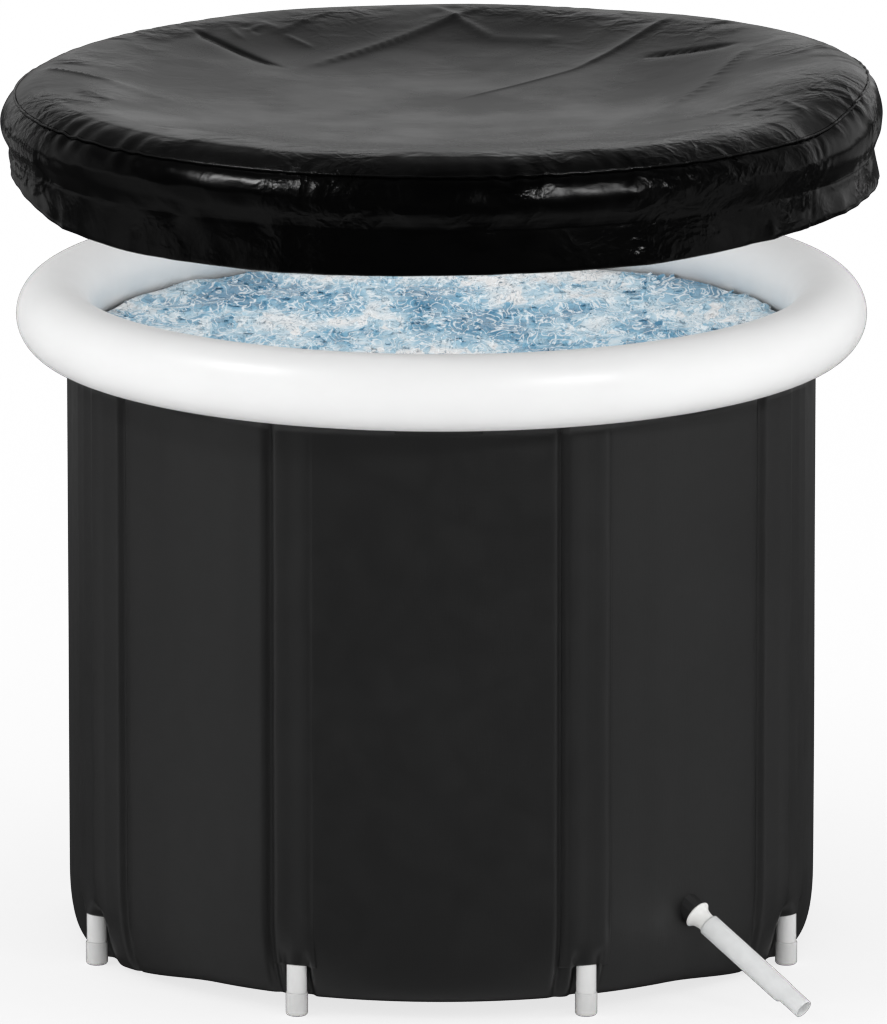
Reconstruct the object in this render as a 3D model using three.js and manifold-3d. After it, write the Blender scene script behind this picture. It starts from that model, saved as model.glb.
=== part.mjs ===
// Cold plunge tub: a padded fabric tub on eight push-in poles, with an inflated rim ring,
// a drain with a short hose, and a fitted cover that is lifted above the rim.
// Millimetres, +Z up, the floor at z = 0, the front of the tub towards -Y.
import * as THREE from 'three';
import { mergeVertices } from 'three/addons/utils/BufferGeometryUtils.js';
import Module from 'manifold-3d';

const wasm = await Module();
wasm.setup();

// Rounds
const stations = 48;
const smallRound = 12;
const gap = 0.3;

// Tub wall: three layers, the outermost at the wall radius
const wallRadius = 416;
const wallTop = 665;
const outerFabric = 1.2;
const wallFoam = 5;
const linerFilm = 1;
const cornerWidth = 20;
const cornerHeight = 62;
const wallUnderside = 18;
const lipRadius = 374;
const baseRadius = 388;
const floorFoam = 3.5;
const floorFoamRadius = 388.5;

// Poles in their sleeves, and the valleys that they press into the wall
const poleCount = 8;
const firstPole = Math.PI / 8;
const poleRadius = 11;
const poleWall = 2;
const poleCircle = 414.5;
const valleyDepth = 13.4;
const valleyTop = 657;
const valleyUnderside = 0.5;
const footRadius = 12.5;
const footHeight = 26;
const footFloor = 3;
const topCapThickness = 2.5;
const topCapPlug = 12;
const sleeveBottom = 59;
const sleeveTop = 655;
const sleeveFabric = 1;
const sleeveHalfWidth = 36;
const sleeveWeld = 28;
const sleeveTab = 2;

// Inflated rim ring and its air valve, low on the back of the ring
const ringHeight = 708;
const ringRadius = 430.5;
const ringTube = 42;
const ringSides = 12;
const ringFilm = 1.2;
const bandFabric = 1.2;
const bandDrop = 6;
const valveAzimuth = THREE.MathUtils.degToRad(93.75);
const valveTilt = THREE.MathUtils.degToRad(-75);
const valveFlange = 10;
const valveStem = 5.5;
const valveBore = 3.5;
const valveCapRadius = 7;

// Drain through the wall, right of the front
const drainAzimuth = THREE.MathUtils.degToRad(-48.75);
const drainHeight = 100;
const drainBend = 421;
const drainTail = 10;
const drainBore = 7.5;
const spoutFall = THREE.MathUtils.degToRad(30);
const spoutYaw = THREE.MathUtils.degToRad(10);
const spoutRadius = 10.3;
const spoutStart = 2;
const spoutLength = 49;
const spoutFlange = 16;
const spoutFlangeAt = 4.4;
const spoutFlangeThickness = 3;
const wedgeRadius = 14.5;
const gasketThickness = 2;
const gasketRadius = 15.5;
const nutRadius = 17;
const nutLength = 8;
const hoseRadius = 12.5;
const hoseBore = 11;
const hoseRoute = [
  [293.8, -329.5, 88],
  [319.3, -350, 69.1],
  [344.8, -370.4, 50.3],
  [370.3, -390.9, 31.4],
  [395.8, -411.4, 12.5],
];

// Cover: heights from the middle of the ring when it is seated, and how far it is lifted
const coverLift = 218;
const coverFilm = 1.2;
const coverCrown = 44.5;
const coverDish = 30;
const coverBulge = 489;
const coverWaist = 480;
const coverHem = 484.5;
const hemDrop = 74;
const hemFold = 9;
const hemFoldHeight = 12;
const hemWave = 2.5;
const seamRadius = 471.5;
const seamHeight = 30;
const pipingRadius = 1.5;
const elasticRadius = 2.4;

const finishes = {
  wall: { color: 0x2c2c2e, roughness: 0.8, metalness: 0 },
  sleeve: { color: 0x303032, roughness: 0.75, metalness: 0 },
  foam: { color: 0xdcdcd6, roughness: 0.95, metalness: 0 },
  liner: { color: 0x3a3c3e, roughness: 0.5, metalness: 0 },
  ring: { color: 0xf0f0ef, roughness: 0.38, metalness: 0 },
  pole: { color: 0xd6d6d4, roughness: 0.4, metalness: 0 },
  cap: { color: 0xcfcfcd, roughness: 0.45, metalness: 0 },
  drain: { color: 0xf1f1ed, roughness: 0.4, metalness: 0 },
  hose: { color: 0xe4e6e4, roughness: 0.3, metalness: 0 },
  rubber: { color: 0x1b1b1c, roughness: 0.7, metalness: 0 },
  cover: { color: 0x18191b, roughness: 0.28, metalness: 0 },
};

const tub = new THREE.Group();

function addPiece(name, geometry, finish, parent = tub) {
  geometry.computeVertexNormals();
  const mesh = new THREE.Mesh(geometry, new THREE.MeshStandardMaterial(finishes[finish]));
  mesh.name = name;
  parent.add(mesh);
  return mesh;
}

// A closed section [radius, height, share of the shift] swept once round the Z axis.
function revolve(section, { count = stations, shift = () => 0 } = {}) {
  const flat = section.map(([radius, height]) => new THREE.Vector2(radius, height));
  const ordered = THREE.ShapeUtils.area(flat) > 0 ? section : [...section].reverse();
  const positions = [];
  const indices = [];
  const columns = ordered.map(([radius, height, share = 0]) => {
    const column = [];
    const points = radius === 0 ? 1 : count;
    for (let i = 0; i < points; i += 1) {
      const angle = (2 * Math.PI * i) / count;
      const reach = radius === 0 ? 0 : radius + share * shift(angle);
      column.push(positions.length / 3);
      positions.push(reach * Math.cos(angle), reach * Math.sin(angle), height);
    }
    return column;
  });
  // Both faces of a sheet split their quads along the same diagonal, from low to high.
  columns.forEach((here, j) => {
    const there = columns[(j + 1) % columns.length];
    const rises = ordered[(j + 1) % columns.length][1] >= ordered[j][1];
    for (let i = 0; i < count; i += 1) {
      const next = (i + 1) % count;
      const quad = [
        here[i] ?? here[0],
        here[next] ?? here[0],
        there[next] ?? there[0],
        there[i] ?? there[0],
      ];
      if (!rises) quad.push(quad.shift());
      const [a, b, c, d] = quad;
      const faces = [[a, b, c], [a, c, d]];
      indices.push(...faces.filter((face) => new Set(face).size === 3).flat());
    }
  });
  const geometry = new THREE.BufferGeometry();
  geometry.setAttribute('position', new THREE.Float32BufferAttribute(positions, 3));
  geometry.setIndex(indices);
  return geometry;
}

// A rod or tube of revolution on Z, from one height to another.
function rod(radius, from, to, bore = 0) {
  const section = [[bore, from], [radius, from], [radius, to], [bore, to]];
  return revolve(section, { count: smallRound });
}

// A path of [x, y] moved to the left of its direction, with mitred corners.
function offsetPath(path, distance) {
  return path.map(([x, y, share = 0], i) => {
    const before = path[Math.max(i - 1, 0)];
    const after = path[Math.min(i + 1, path.length - 1)];
    const arrive = new THREE.Vector2(x - before[0], y - before[1]).normalize();
    const leave = new THREE.Vector2(after[0] - x, after[1] - y).normalize();
    const heading = arrive.clone().add(leave).normalize();
    const straight = arrive.length() > 0 ? arrive : leave;
    const reach = distance / heading.dot(straight);
    const across = x - heading.y * reach;
    return [x === 0 ? 0 : across, y + heading.x * reach, share];
  });
}

// The closed section of a sheet whose outer face follows the path.
function sheetSection(path, thickness) {
  return [...path, ...offsetPath(path, thickness).reverse()];
}

function solidOf(geometry) {
  const bare = geometry.clone();
  bare.deleteAttribute('normal');
  bare.deleteAttribute('uv');
  const merged = mergeVertices(bare, 1e-4);
  const vertProperties = new Float32Array(merged.attributes.position.array);
  const triVerts = new Uint32Array(merged.index.array);
  return new wasm.Manifold(new wasm.Mesh({ numProp: 3, vertProperties, triVerts }));
}

function geometryOf(solid) {
  const mesh = solid.getMesh();
  const geometry = new THREE.BufferGeometry();
  geometry.setAttribute('position', new THREE.Float32BufferAttribute(mesh.vertProperties, 3));
  geometry.setIndex(Array.from(mesh.triVerts));
  return geometry;
}

function joined(geometries) {
  return geometries.map(solidOf).reduce((sum, solid) => sum.add(solid));
}

function cut(geometry, ...tools) {
  return geometryOf(solidOf(geometry).subtract(joined(tools)));
}

function polygon(points) {
  return new THREE.Shape(points.map(([x, y]) => new THREE.Vector2(x, y)));
}

function aimed(geometry, direction, start = new THREE.Vector3()) {
  const turn = new THREE.Quaternion().setFromUnitVectors(new THREE.Vector3(0, 0, 1), direction);
  return geometry.applyQuaternion(turn).translate(start.x, start.y, start.z);
}

// Radial places of the drain and of the valve
const drainOut = new THREE.Vector3(Math.cos(drainAzimuth), Math.sin(drainAzimuth), 0);
const facetScale = Math.cos(Math.PI / stations);

function onDrain(geometry) {
  const start = new THREE.Vector3(0, 0, drainHeight);
  return aimed(geometry, drainOut, start);
}

const drainHole = () => onDrain(rod(drainTail + 0.5, 370, 440));

// Tub shell
function atPole(angle) {
  const step = (2 * Math.PI) / poleCount;
  const turn = ((angle - firstPole) % step + step) % step;
  const off = Math.min(turn, step - turn);
  return off < Math.PI / stations ? -valleyDepth : 0;
}

// One face of a wall layer, from its top edge round the lower corner.
function wallFace(inset) {
  const radius = wallRadius - inset;
  const cornerTop = wallUnderside + cornerHeight;
  const face = [[radius, wallTop, 0], [radius, valleyTop, 1], [radius, cornerTop, 1]];
  for (const share of [1 / 3, 2 / 3, 1]) {
    const angle = (share * Math.PI) / 2;
    const across = wallRadius - cornerWidth + (cornerWidth - inset) * Math.cos(angle);
    const valley = share < 1 ? 1 : valleyUnderside;
    face.push([across, cornerTop - (cornerHeight - inset) * Math.sin(angle), valley]);
  }
  return face;
}

const foamInset = outerFabric + gap;
const linerInset = foamInset + wallFoam + gap;
const wallInside = linerInset + linerFilm;

const outerWall = [
  ...wallFace(0),
  [lipRadius, wallUnderside, 0],
  [lipRadius, wallUnderside + outerFabric, 0],
  ...wallFace(outerFabric).reverse(),
];
addPiece('outer_wall', cut(revolve(outerWall, { shift: atPole }), drainHole()), 'wall');

const baseFrom = wallUnderside + outerFabric + gap;
const baseTo = baseFrom + outerFabric;
addPiece('outer_base', revolve([[0, baseFrom], [baseRadius, baseFrom], [baseRadius, baseTo], [0, baseTo]]), 'wall');

const foam = [...wallFace(foamInset), ...wallFace(foamInset + wallFoam).reverse()];
addPiece('wall_insulation', cut(revolve(foam, { shift: atPole }), drainHole()), 'foam');

const foamFrom = baseTo + gap;
const foamTo = foamFrom + floorFoam;
addPiece(
  'floor_insulation',
  revolve([[0, foamFrom], [floorFoamRadius, foamFrom], [floorFoamRadius, foamTo], [0, foamTo]]),
  'foam',
);

const liner = [
  ...wallFace(linerInset),
  [0, wallUnderside + linerInset],
  [0, wallUnderside + wallInside],
  ...wallFace(wallInside).reverse(),
];
addPiece('inner_liner', cut(revolve(liner, { shift: atPole }), drainHole()), 'liner');

// Rim band: caps the wall's three layers and carries the ring
const bandOut = wallRadius + gap + bandFabric;
const bandIn = wallRadius - wallInside;
const rimBand = [
  [bandIn, wallTop + gap],
  [wallRadius + gap, wallTop + gap],
  [wallRadius + gap, wallTop - bandDrop],
  [bandOut, wallTop - bandDrop],
  [bandOut, wallTop + 3.9],
  [bandIn + 1.4, wallTop + 6],
  [bandIn, wallTop + 6],
];
addPiece('rim_band', revolve(rimBand), 'wall');

// Inflated ring: a hollow tube that the valve opens into
function circleSection(radius, height, size, sides) {
  return Array.from({ length: sides }, (_, i) => {
    const angle = (2 * Math.PI * i) / sides;
    return [radius + size * Math.cos(angle), height + size * Math.sin(angle)];
  });
}

const valveOut = new THREE.Vector3(
  Math.cos(valveTilt) * Math.cos(valveAzimuth),
  Math.cos(valveTilt) * Math.sin(valveAzimuth),
  Math.sin(valveTilt),
);
const tubeCentre = new THREE.Vector3(
  ringRadius * facetScale * Math.cos(valveAzimuth),
  ringRadius * facetScale * Math.sin(valveAzimuth),
  ringHeight,
);
const valveFace = ringTube * Math.cos(Math.PI / ringSides);
const onValve = (geometry) => aimed(geometry, valveOut, tubeCentre);

const ringSkin = revolve(circleSection(ringRadius, ringHeight, ringTube, ringSides));
const ringAir = revolve(circleSection(ringRadius, ringHeight, ringTube - ringFilm, ringSides));
const valveHole = onValve(rod(valveStem + 0.5, valveFace - 8, valveFace + 4));
addPiece('rim_ring', cut(ringSkin, ringAir, valveHole), 'ring');

const valveSeat = valveFace + gap;
const valveBody = [
  [valveBore, valveSeat - 11],
  [valveStem, valveSeat - 11],
  [valveStem, valveSeat],
  [valveFlange, valveSeat],
  [valveFlange, valveSeat + 1.6],
  [valveStem, valveSeat + 2.2],
  [valveStem, valveSeat + 5],
  [valveBore, valveSeat + 5],
];
addPiece('air_valve_base', onValve(revolve(valveBody, { count: smallRound })), 'ring');

const valveCap = [
  [0, valveSeat - 4],
  [valveBore - 0.4, valveSeat - 4],
  [valveBore - 0.4, valveSeat + 5 + gap],
  [valveCapRadius, valveSeat + 5 + gap],
  [valveCapRadius, valveSeat + 8],
  [valveCapRadius - 1, valveSeat + 8.8],
  [0, valveSeat + 8.8],
];
addPiece('air_valve_cap', onValve(revolve(valveCap, { count: smallRound })), 'ring');

// Pole sleeves: a strip welded to the wall along both edges, closed at the top
const stationStep = (2 * Math.PI) / stations;
const valleyFloor = wallRadius - valleyDepth;
const valleySlope = (wallRadius * Math.cos(stationStep) - valleyFloor) / (wallRadius * Math.sin(stationStep));

function sleevePath() {
  const wallAt = (x) => valleyFloor + Math.abs(x) * valleySlope + gap;
  const inner = poleRadius + 0.6;
  const drop = wallAt(sleeveWeld) - poleCircle;
  const reach = Math.hypot(sleeveWeld, drop);
  const leave = Math.atan2(drop, sleeveWeld) + Math.acos(inner / reach);
  const path = [[sleeveHalfWidth, wallAt(sleeveHalfWidth)], [sleeveWeld, wallAt(sleeveWeld)]];
  const arcSteps = 4;
  for (let i = 0; i <= arcSteps; i += 1) {
    const angle = leave + ((Math.PI - 2 * leave) * i) / arcSteps;
    path.push([inner * Math.cos(angle), poleCircle + inner * Math.sin(angle)]);
  }
  path.push([-sleeveWeld, wallAt(sleeveWeld)], [-sleeveHalfWidth, wallAt(sleeveHalfWidth)]);
  return path;
}

function sleeveGeometry() {
  const path = sleevePath();
  const strip = polygon([...path, ...offsetPath(path, -sleeveFabric).reverse()]);
  const middle = offsetPath(path, -sleeveFabric / 2).slice(1, -1);
  const tab = polygon([...middle, [0, valleyFloor + gap]]);
  const length = sleeveTop - sleeveBottom;
  const side = new THREE.ExtrudeGeometry(strip, { depth: length, bevelEnabled: false });
  const end = new THREE.ExtrudeGeometry(tab, { depth: sleeveTab, bevelEnabled: false });
  side.translate(0, 0, sleeveBottom);
  end.translate(0, 0, sleeveTop - sleeveTab);
  return geometryOf(joined([side, end]));
}

// Poles with their foot caps and top caps
const topCapTo = sleeveTop - sleeveTab - 0.4;
const poleTop = topCapTo - topCapThickness - gap;
const footSection = [
  [0, 0],
  [footRadius - 1, 0],
  [footRadius, 1.5],
  [footRadius, footHeight],
  [poleRadius + gap, footHeight],
  [poleRadius + gap, footFloor],
  [0, footFloor],
];
const topCapSection = [
  [0, poleTop - topCapPlug],
  [poleRadius - poleWall - 0.4, poleTop - topCapPlug],
  [poleRadius - poleWall - 0.4, poleTop + gap],
  [poleRadius, poleTop + gap],
  [poleRadius, topCapTo],
  [0, topCapTo],
];

for (let i = 0; i < poleCount; i += 1) {
  const place = new THREE.Group();
  place.rotation.z = firstPole + (2 * Math.PI * i) / poleCount - Math.PI / 2;
  tub.add(place);
  const stand = new THREE.Group();
  stand.position.y = poleCircle;
  place.add(stand);
  const number = i + 1;
  const tube = rod(poleRadius, footFloor + gap, poleTop, poleRadius - poleWall);
  addPiece(`pole_sleeve_${number}`, sleeveGeometry(), 'sleeve', place);
  addPiece(`support_pole_${number}`, tube, 'pole', stand);
  addPiece(`pole_foot_${number}`, revolve(footSection, { count: smallRound }), 'cap', stand);
  addPiece(`pole_top_cap_${number}`, revolve(topCapSection, { count: smallRound }), 'cap', stand);
}

// Drain: spigot, gaskets, locking nut, stopper and hose
const outerFace = wallRadius * facetScale;
const innerFace = (wallRadius - wallInside) * facetScale;
const nutTo = innerFace - gasketThickness - 2 * gap;
const tailEnd = nutTo - nutLength - 6;
const spoutTurn = drainAzimuth + spoutYaw;
const spoutOut = new THREE.Vector3(
  Math.cos(spoutFall) * Math.cos(spoutTurn),
  Math.cos(spoutFall) * Math.sin(spoutTurn),
  -Math.sin(spoutFall),
);
const bendCentre = drainOut.clone().multiplyScalar(drainBend).setZ(drainHeight);
const onSpout = (geometry) => aimed(geometry, spoutOut, bendCentre);

function ball(radius) {
  const half = [];
  for (let i = 0; i <= 6; i += 1) {
    const angle = (Math.PI * i) / 6 - Math.PI / 2;
    half.push([i % 6 === 0 ? 0 : radius * Math.cos(angle), radius * Math.sin(angle)]);
  }
  return revolve(half, { count: smallRound });
}

const spigotSkin = [
  onDrain(rod(drainTail, tailEnd, drainBend)),
  onSpout(ball(spoutRadius)),
  onSpout(rod(spoutRadius, spoutStart, spoutLength)),
  onSpout(rod(spoutFlange, spoutFlangeAt, spoutFlangeAt + spoutFlangeThickness)),
];
const spigotBore = [
  onDrain(rod(drainBore, tailEnd - 5, drainBend)),
  onSpout(ball(drainBore)),
  onSpout(rod(drainBore, 0, spoutLength + 5)),
];
addPiece('drain_spigot', geometryOf(joined(spigotSkin).subtract(joined(spigotBore))), 'drain');

// The outer gasket is a wedge: its back lies on the wall and its front under the flange
const wedge = onSpout(rod(wedgeRadius, -30, spoutFlangeAt - gap));
const wedgeSpace = [
  onDrain(rod(4 * wedgeRadius, outerFace - 60, outerFace + gap)),
  onDrain(rod(drainTail + 0.5, outerFace, drainBend)),
  onSpout(ball(spoutRadius + gap)),
  onSpout(rod(spoutRadius + gap, 0, spoutFlangeAt)),
];
addPiece('drain_outer_gasket', cut(wedge, ...wedgeSpace), 'rubber');

const washer = (radius, from, to) => onDrain(rod(radius, from, to, drainTail + 0.5));
const innerGasketTo = innerFace - gap;
addPiece('drain_inner_gasket', washer(gasketRadius, innerGasketTo - gasketThickness, innerGasketTo), 'rubber');
addPiece('drain_nut', washer(nutRadius, nutTo - nutLength, nutTo), 'drain');

const stopperSection = [
  [0, tailEnd - 14],
  [4, tailEnd - 13],
  [5, tailEnd - 10],
  [3, tailEnd - 3.5],
  [drainTail + 2, tailEnd - 3.5],
  [drainTail + 2, tailEnd - gap],
  [drainBore - 0.4, tailEnd - gap],
  [drainBore - 0.8, tailEnd + 11],
  [0, tailEnd + 11],
];
addPiece('drain_stopper', onDrain(revolve(stopperSection, { count: smallRound })), 'rubber');

function hoseGeometry() {
  const route = new THREE.CatmullRomCurve3(hoseRoute.map((point) => new THREE.Vector3(...point)));
  const ring = (radius) => polygon(circleSection(0, 0, radius, smallRound));
  const shape = ring(hoseRadius);
  shape.holes.push(ring(hoseBore));
  return new THREE.ExtrudeGeometry(shape, { steps: 4, extrudePath: route, bevelEnabled: false });
}

addPiece('drain_hose', geometryOf(solidOf(hoseGeometry())), 'hose');

// Cover: a dished top panel, a skirt with a turned hem, piping on the seam and elastic in the hem
const cover = new THREE.Group();
cover.position.z = ringHeight + coverLift;
tub.add(cover);

// Shallow folds of the hem, closest together on the right of the front
function hemFolds(angle) {
  const right = 0.6 + 0.4 * Math.cos(angle + 0.5);
  return hemWave * right * (0.5 + 0.5 * Math.sin(9 * angle + 1.4 * Math.sin(angle)));
}

const dishFloor = coverCrown - coverDish;
const topPath = [
  [seamRadius, seamHeight],
  [456, coverCrown - 4.5],
  [436, coverCrown],
  [410, coverCrown - 0.7],
  [370, coverCrown - 5],
  [290, dishFloor + 13.5],
  [150, dishFloor + 3],
  [0, dishFloor],
];
addPiece('lid_top_panel', revolve(sheetSection(topPath, coverFilm)), 'cover', cover);

const skirtPath = [
  [coverHem - hemFold, -hemDrop + hemFoldHeight, 1],
  [coverHem - hemFold, -hemDrop, 1],
  [coverHem, -hemDrop, 1],
  [coverWaist + 1, -46, 0.5],
  [coverWaist, -29],
  [coverWaist + 2, -21],
  [coverBulge - 2, -10],
  [coverBulge, 1],
  [coverBulge - 2.5, 10.5],
  [480, 20.5],
  [seamRadius - 0.4, seamHeight - 1.8],
  [460, seamHeight + 5.2],
];
addPiece('lid_skirt', revolve(sheetSection(skirtPath, coverFilm), { shift: hemFolds }), 'cover', cover);

const piping = circleSection(seamRadius + 1.9, seamHeight - 1, pipingRadius, 6);
addPiece('lid_seam_piping', revolve(piping), 'cover', cover);

const elasticAt = [coverHem - hemFold / 2, -hemDrop + coverFilm + elasticRadius + 0.6];
const elastic = circleSection(...elasticAt, elasticRadius, 6).map(([radius, height]) => [radius, height, 1]);
addPiece('lid_hem_elastic', revolve(elastic, { shift: hemFolds }), 'rubber', cover);

export default tub;
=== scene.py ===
import math

import bmesh
import bpy
import numpy as np
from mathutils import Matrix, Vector


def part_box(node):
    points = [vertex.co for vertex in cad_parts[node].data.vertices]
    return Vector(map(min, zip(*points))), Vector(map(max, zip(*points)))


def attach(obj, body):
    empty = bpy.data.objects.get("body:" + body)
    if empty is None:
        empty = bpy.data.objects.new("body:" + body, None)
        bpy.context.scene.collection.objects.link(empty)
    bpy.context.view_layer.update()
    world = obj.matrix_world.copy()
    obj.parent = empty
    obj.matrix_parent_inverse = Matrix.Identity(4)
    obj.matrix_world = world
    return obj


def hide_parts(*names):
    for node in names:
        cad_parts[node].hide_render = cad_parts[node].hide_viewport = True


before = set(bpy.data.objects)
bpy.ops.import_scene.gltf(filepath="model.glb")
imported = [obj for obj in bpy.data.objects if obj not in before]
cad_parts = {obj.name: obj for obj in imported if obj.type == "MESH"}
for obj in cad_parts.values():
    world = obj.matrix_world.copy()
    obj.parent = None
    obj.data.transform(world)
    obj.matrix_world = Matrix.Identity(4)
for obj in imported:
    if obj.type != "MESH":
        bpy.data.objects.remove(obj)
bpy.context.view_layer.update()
print("frame loaded")

# Camera: a long lens far off, a little above the tub
view = {"distance": 16.457, "elevation": 12.706, "across": 0.00218, "height": 0.47868, "lens": 518.9}


def makeCamera():
    tilt = math.radians(view["elevation"])
    data = bpy.data.cameras.new("camera")
    data.sensor_width = 36
    data.lens = view["lens"]
    data.clip_end = 200
    camera = bpy.data.objects.new("camera", data)
    bpy.context.scene.collection.objects.link(camera)
    back = view["distance"] * math.cos(tilt)
    camera.location = (view["across"], -back, view["height"] + view["distance"] * math.sin(tilt))
    camera.rotation_euler = (math.pi / 2 - tilt, 0, 0)
    bpy.context.scene.camera = camera


makeCamera()


# Shader expressions: operators on a socket add Math nodes
class Signal:
    def __init__(self, graph, socket):
        self.graph = graph
        self.socket = socket

    def calculate(self, operation, first, second):
        return self.graph.node("ShaderNodeMath", {"operation": operation}, {0: first, 1: second})

    def __add__(self, other):
        return self.calculate("ADD", self, other)

    def __sub__(self, other):
        return self.calculate("SUBTRACT", self, other)

    def __rsub__(self, other):
        return self.calculate("SUBTRACT", other, self)

    def __mul__(self, other):
        return self.calculate("MULTIPLY", self, other)

    def __abs__(self):
        return self.calculate("ABSOLUTE", self, 0.0)

    __radd__ = __add__
    __rmul__ = __mul__


class Graph:
    def __init__(self, tree):
        self.tree = tree
        self.tree.nodes.clear()

    def node(self, kind, settings, inputs, output=0):
        made = self.tree.nodes.new(kind)
        for key, value in settings.items():
            if key == "stops":
                self.setStops(made.color_ramp, value)
            else:
                setattr(made, key, value)
        for key, value in inputs.items():
            if isinstance(value, Signal):
                self.tree.links.new(value.socket, made.inputs[key])
            else:
                made.inputs[key].default_value = value
        return Signal(self, made.outputs[output]) if made.outputs else None

    def setStops(self, ramp, stops):
        while len(ramp.elements) < len(stops):
            ramp.elements.new(0.5)
        for element, (place, shade) in zip(ramp.elements, stops):
            element.position = place
            element.color = (*shade, 1)

    def place(self, scale=(1, 1, 1)):
        spot = self.node("ShaderNodeTexCoord", {}, {}, "Object")
        return self.node("ShaderNodeMapping", {}, {"Vector": spot, "Scale": scale})

    def noise(self, scale, detail=3.0, stretch=(1, 1, 1), twist=0.0):
        sizes = {"Vector": self.place(stretch), "Scale": scale, "Detail": detail, "Distortion": twist}
        return self.node("ShaderNodeTexNoise", {}, sizes)

    def ramp(self, value, stops):
        return self.node("ShaderNodeValToRGB", {"stops": stops}, {"Fac": value})

    def span(self, value, fromLow, fromHigh, low, high):
        settings = {"clamp": True, "interpolation_type": "SMOOTHSTEP"}
        limits = {"Value": value, "From Min": fromLow, "From Max": fromHigh, "To Min": low, "To Max": high}
        return self.node("ShaderNodeMapRange", settings, limits)

    def mixColours(self, share, first, second):
        return self.node("ShaderNodeMix", {"data_type": "RGBA"}, {0: share, 6: first, 7: second}, 2)

    def bump(self, height, distance, strength=1.0):
        return self.node("ShaderNodeBump", {}, {"Height": height, "Distance": distance, "Strength": strength})

    def finish(self, inputs):
        shader = self.node("ShaderNodeBsdfPrincipled", {}, inputs)
        self.node("ShaderNodeOutputMaterial", {}, {"Surface": shader})


def newGraph(name):
    material = bpy.data.materials.new(name)
    material.use_nodes = True
    return material, Graph(material.node_tree)


def tone(shade, factor=1.0):
    return (*(c * factor for c in shade), 1)


# Moulded or extruded plastic: one colour, faint mottling and a fine grain
def plasticMaterial(name, shade, rough, grain=0.00006, mottle=0.06):
    material, graph = newGraph(name)
    patches = graph.span(graph.noise(14), 0.3, 0.7, 0, 1)
    graph.finish({
        "Base Color": graph.mixColours(patches, tone(shade, 1 - mottle), tone(shade)),
        "Roughness": graph.span(graph.noise(30), 0.3, 0.7, rough - 0.05, rough + 0.05),
        "Normal": graph.bump(graph.noise(900, 2), grain),
    })
    return material


# Coated fabric of the wall: a soft sheen, a faint cloud of tone and a woven grain
def fabricMaterial(name, shade, rough):
    material, graph = newGraph(name)
    cloud = graph.span(graph.noise(5, 4), 0.3, 0.7, 0, 1)
    across = graph.noise(520, 1, (1, 1, 0.12))
    along = graph.noise(520, 1, (0.12, 0.12, 1))
    graph.finish({
        "Base Color": graph.mixColours(cloud, tone(shade, 0.92), tone(shade, 1.08)),
        "Roughness": graph.span(graph.noise(40), 0.3, 0.7, rough - 0.03, rough + 0.03),
        "Specular IOR Level": 1.0,
        "Normal": graph.bump(across + along, 0.00007),
    })
    return material


# Thin black vinyl of the cover: glossy, crinkled in patches towards the seam
def vinylMaterial(name, shade, rough, gloss, crinkle):
    material, graph = newGraph(name)
    level = graph.place((1, 1, 0))
    fromAxis = graph.node("ShaderNodeVectorMath", {"operation": "LENGTH"}, {0: level}, "Value")
    edge = graph.span(fromAxis, 0.34, 0.45, 0.1, 1.0)
    patches = graph.span(graph.noise(7, 2), 0.42, 0.62, 0.15, 1.0)
    folds = 1 - abs(graph.noise(24, 2, (1, 1, 1.3), 0.6) - 0.5) * 2
    fine = 1 - abs(graph.noise(75, 3, (1, 1, 1), 0.4) - 0.5) * 2
    graph.finish({
        "Base Color": tone(shade),
        "Roughness": graph.span(graph.noise(9, 4), 0.3, 0.7, rough - 0.05, rough + 0.06),
        "Specular IOR Level": gloss,
        "Normal": graph.bump((folds + fine * 0.3) * edge * patches, crinkle, 0.55),
    })
    return material


# Hose: milky, partly clear plastic
def hoseMaterial(name, shade):
    material, graph = newGraph(name)
    cloud = graph.span(graph.noise(60, 3), 0.3, 0.7, 0, 1)
    graph.finish({
        "Base Color": graph.mixColours(cloud, tone(shade, 0.94), tone(shade)),
        "Roughness": graph.span(graph.noise(25), 0.3, 0.7, 0.3, 0.42),
        "Transmission Weight": 0.18,
        "IOR": 1.4,
        "Normal": graph.bump(graph.noise(300, 2), 0.00006),
    })
    return material


# Crushed ice in water: blue pools and white drifts, crossed by curls of painted glints and painted shade,
# with a faint painted glow
def iceMaterial(name):
    material, graph = newGraph(name)
    drift = graph.noise(7, 3, (1, 0.6, 1), 0.6)
    cells = {"Vector": graph.place((1, 0.4, 1)), "Scale": 75.0}
    shard = graph.node("ShaderNodeTexVoronoi", {}, cells, "Color")
    grey = graph.node("ShaderNodeRGBToBW", {}, {0: shard})
    paint = graph.ramp(drift + grey * 0.2 - 0.1, [
        (0.34, (0.085, 0.235, 0.37)),
        (0.44, (0.21, 0.42, 0.57)),
        (0.53, (0.45, 0.62, 0.72)),
        (0.64, (0.79, 0.79, 0.79)),
    ])
    # Bright curls are painted glints and dark curls are painted shade, as light catches crumpled ice
    glintCurls = graph.span(abs(graph.noise(52, 2, (1, 0.4, 1), 1.4) - 0.5), 0.0, 0.045, 0.85, 0.0)
    shadeCurls = graph.span(abs(graph.noise(60, 2, (1, 0.4, 1), 1.8) - 0.46), 0.0, 0.035, 0.75, 0.0)
    shaded = graph.mixColours(shadeCurls, paint, (0.07, 0.17, 0.25, 1))
    colour = graph.mixColours(glintCurls, shaded, (0.86, 0.9, 0.92, 1))
    graph.finish({
        "Base Color": colour,
        "Roughness": 0.2,
        # A faint painted glow, standing in for light that the cover keeps off the ice
        "Emission Color": colour,
        "Emission Strength": 0.04,
        "Normal": graph.bump(graph.noise(60, 3, (1, 0.5, 1), 0.8), 0.006),
    })
    return material


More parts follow.
